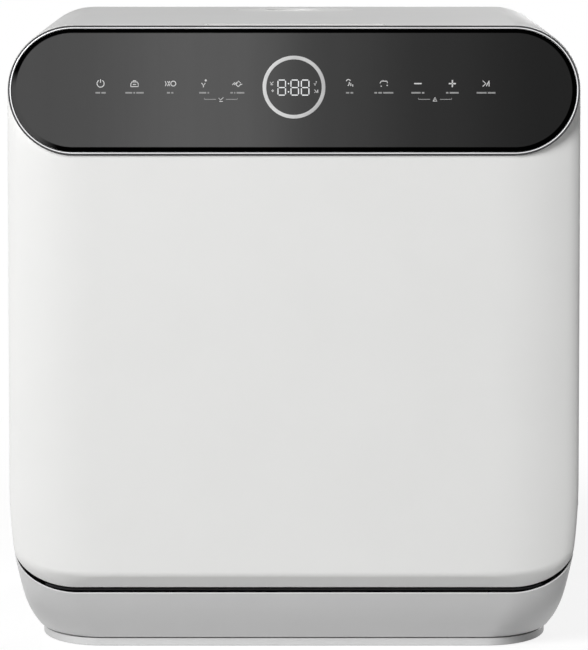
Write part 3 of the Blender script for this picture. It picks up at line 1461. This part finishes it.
DRESSED = tuple(Dress(node, finish, bevel) for finish, bevel, nodes in (
    (Stock.SHEET, 0.3, "back_panel"),
    (Stock.SHEET, 0.6, "cabinet_wrap"),
    (Stock.LID, 0.4, "inlet_valve filler_bowl float_switch filler_lid"),
    (Stock.LID, 0.5, "grip_cup"),
    (Stock.BASE, 0.5, "front_frame"),
    (Stock.DARK, 0.0, "hinge_trough"),
    (Stock.DARK, 0.2, "connector_box"),
    (Stock.DARK, 0.3, "drain_spigot sump"),
    (Stock.DARK, 0.5, "wash_pump drain_pump dryer_housing"),
    (Stock.PART, 0.0, "back_screws"),
    (Stock.PART, 0.2, "door_striker"),
    (Stock.PART, 0.3, "hinge_ears rack_brackets hinge_arms"),
    (Stock.ZINC, 0.0, "base_pan"),
    (Stock.ZINC, 0.2, "door_inner_frame"),
    (Stock.BLACK, 0.3, "cord_gland latch_housing panel_tray"),
    (Stock.TUB, 0.4, "tub"),
    (Stock.TUB, 0.5, "door_liner"),
    (Stock.STEEL, 0.0, "filter_plate filler_strainer"),
    (Stock.ARM, 0.2, "filter_cup"),
    (Stock.ARM, 0.4, "spray_duct dispenser_lid"),
    (Stock.BOARD, 0.0, "touch_board"),
    (Stock.BOARD, 0.2, "control_board"),
    (Stock.TANK, 0.6, "water_tank"),
    (Stock.FELT, 0.6, "door_insulation"),
    (Stock.GREY, 0.2, "cutlery_basket"),
    (Stock.GREY, 0.4, "dispenser_housing"),
    (Stock.BLUE, 0.2, "drain_impeller dryer_fan"),
    (Stock.BLUE, 0.3, "rinse_cap"),
    (Stock.PALE, 0.3, "rack_slides front_rollers rear_rollers"),
    (Stock.AMBER, 0.2, "latch_cam wash_impeller")) for node in nodes.split())


# ---------------------------------------------------------------- studio


@dataclass(frozen=True)
class Lamp:
    """Large soft lamp that points at a spot on the machine."""

    name: str
    at: Point
    size: Pair
    power: float
    aim: Point = (0.0, 0.0, 0.25)

    def hang(self) -> None:
        """Adds the lamp to the scene."""
        data = bpy.data.lights.new(self.name, "AREA")
        data.shape, data.size, data.size_y, data.energy = "RECTANGLE", *self.size, self.power
        lamp = add(self.name, data)
        lamp.location = self.at
        lamp.rotation_euler = (Vector(self.aim) - lamp.location).to_track_quat("-Z", "Y").to_euler()


@dataclass
class Studio:
    """White floor and room, soft lamps and the camera.

    Args:
        distance: how far the camera stands in front of the panel trim, in metres.
        height: the camera's height above the floor.
        pitch: how far it looks down, in degrees.
        focal: its focal length in millimetres.
        sensor: width of its sensor in millimetres.
        floor_size: length of the floor's sides, in metres.
        floor_tones: grey of the floor as it lights the machine, and as it is seen.
        floor_glow: light that the seen floor adds to its shadow.
        fade: distances in millimetres over which the seen floor turns into plain white.
        world_level: strength of the even light from all round.
        lamps: the lamps.
    """

    distance: float = 3.790
    height: float = 0.597
    pitch: float = 5.296
    focal: float = 287.6
    sensor: float = 36.0
    floor_size: float = 60.0
    floor_tones: Pair = (0.55, 0.28)
    floor_glow: float = 0.82
    fade: Pair = (450.0, 1400.0)
    world_level: float = 0.12
    lamps: tuple[Lamp, ...] = (
        Lamp("key_front_left", (-2.85, -4.44, 2.31), (2.8, 2.8), 288.0),
        Lamp("fill_behind", (1.35, 2.78, 1.03), (1.8, 1.8), 42.0))

    def build(self) -> None:
        """Sets up the camera, the floor, the world and the lamps."""
        self.camera()
        self.floor()
        self.world()
        for lamp in self.lamps:
            lamp.hang()
        bpy.context.scene.view_settings.view_transform = "Standard"

    def camera(self) -> None:
        """Adds the camera in front of the door and makes it the scene's."""
        data = bpy.data.cameras.new("camera")
        data.lens, data.sensor_width = self.focal, self.sensor
        data.clip_end = 200.0
        cam = add("camera", data)
        cam.location = (0.0, -BODY.depth / 2 * MM - self.distance, self.height)
        cam.rotation_euler = (radians(90 - self.pitch), 0.0, 0.0)
        bpy.context.scene.camera = cam

    def floor(self) -> None:
        """Adds a white floor that shows white to the camera and keeps the machine's shadow."""
        half = self.floor_size / 2
        mesh = bpy.data.meshes.new("floor")
        mesh.from_pydata([(-half, -half, 0), (half, -half, 0), (half, half, 0), (-half, half, 0)], [],
                         [(0, 1, 2, 3)])
        add("floor", mesh)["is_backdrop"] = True
        g = Graph(bpy.data.materials.new("floor_paper"))
        paper = g.noise(1.5, 2.0)
        lighting, seen_tone = ((tone, tone, tone) for tone in self.floor_tones)
        plain = g.node("ShaderNodeBsdfDiffuse", None, 0, Color=lighting)
        shown = g.node("ShaderNodeBsdfDiffuse", None, 0, Color=seen_tone, Normal=g.bump(paper, 0.02))
        glow = g.node("ShaderNodeEmission", None, 0, Color=WHITE, Strength=self.floor_glow)
        near = g.node("ShaderNodeAddShader", None, 0, in0=shown, in1=glow)
        far = g.node("ShaderNodeEmission", None, 0, Color=WHITE, Strength=1.0)
        x, y, _ = g.axes()
        away = ((x * x + y * y) ** 0.5).spread(*self.fade)
        seen = g.node("ShaderNodeMixShader", None, 0, in0=away, in1=near, in2=far)
        mesh.materials.append(g.close(self.choose(g, plain, seen)))

    @staticmethod
    def choose(g: Graph, plain: Socket, seen: Socket) -> Socket:
        """Shader that is ``seen`` to camera, glossy and transmission rays and ``plain`` to the others."""
        path = g.tree.nodes.new("ShaderNodeLightPath")
        rays = [Socket(g, path.outputs[f"Is {kind} Ray"]) for kind in ("Camera", "Glossy", "Transmission")]
        share = rays[0].most(rays[1]).most(rays[2])
        return g.node("ShaderNodeMixShader", None, 0, in0=share, in1=plain, in2=seen)

    def world(self) -> None:
        """Lights the scene evenly and shows white behind it."""
        g = Graph(bpy.data.worlds.new("white_room"), "ShaderNodeOutputWorld")
        ambient, shown = (g.node("ShaderNodeBackground", None, 0, Color=WHITE, Strength=level)
                          for level in (self.world_level, 1.0))
        bpy.context.scene.world = g.close(self.choose(g, ambient, shown))


# ---------------------------------------------------------------- the whole machine


def machine() -> list[object]:
    """The sub-assemblies in the order they are built."""
    return [
        DoorSkin(), ControlPanel(), BaseShell(), Plinth(), Feet(), Seal(), DishRack(), CupShelf(),
        SprayArm("lower_arm_shell", "lower_spray_arm", "lower_spray_arm", 135, 110.6, 120.6, True),
        SprayArm("upper_arm_shell", "upper_spray_arm", "upper_spray_arm", 130, 402.0, 409.6, False),
        LinerBeads(), Hoses(), Heater()]


def corners(box: tuple[Vector, Vector]) -> list[list[float]]:
    """A box's two corners as plain lists."""
    return [list(corner) for corner in box]


def main() -> None:
    logging.basicConfig(level=logging.INFO, format="%(message)s")
    bpy.context.view_layer.update()
    cad_box = corners(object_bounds())
    Studio().build()
    for dress in DRESSED:
        dress.apply()
    for part in machine():
        LOG.info("building %s", type(part).__name__)
        part.build()
    bpy.context.view_layer.update()
    {"cad": cad_box, "visual": corners(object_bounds())}


if __name__ == "__main__":
    main()
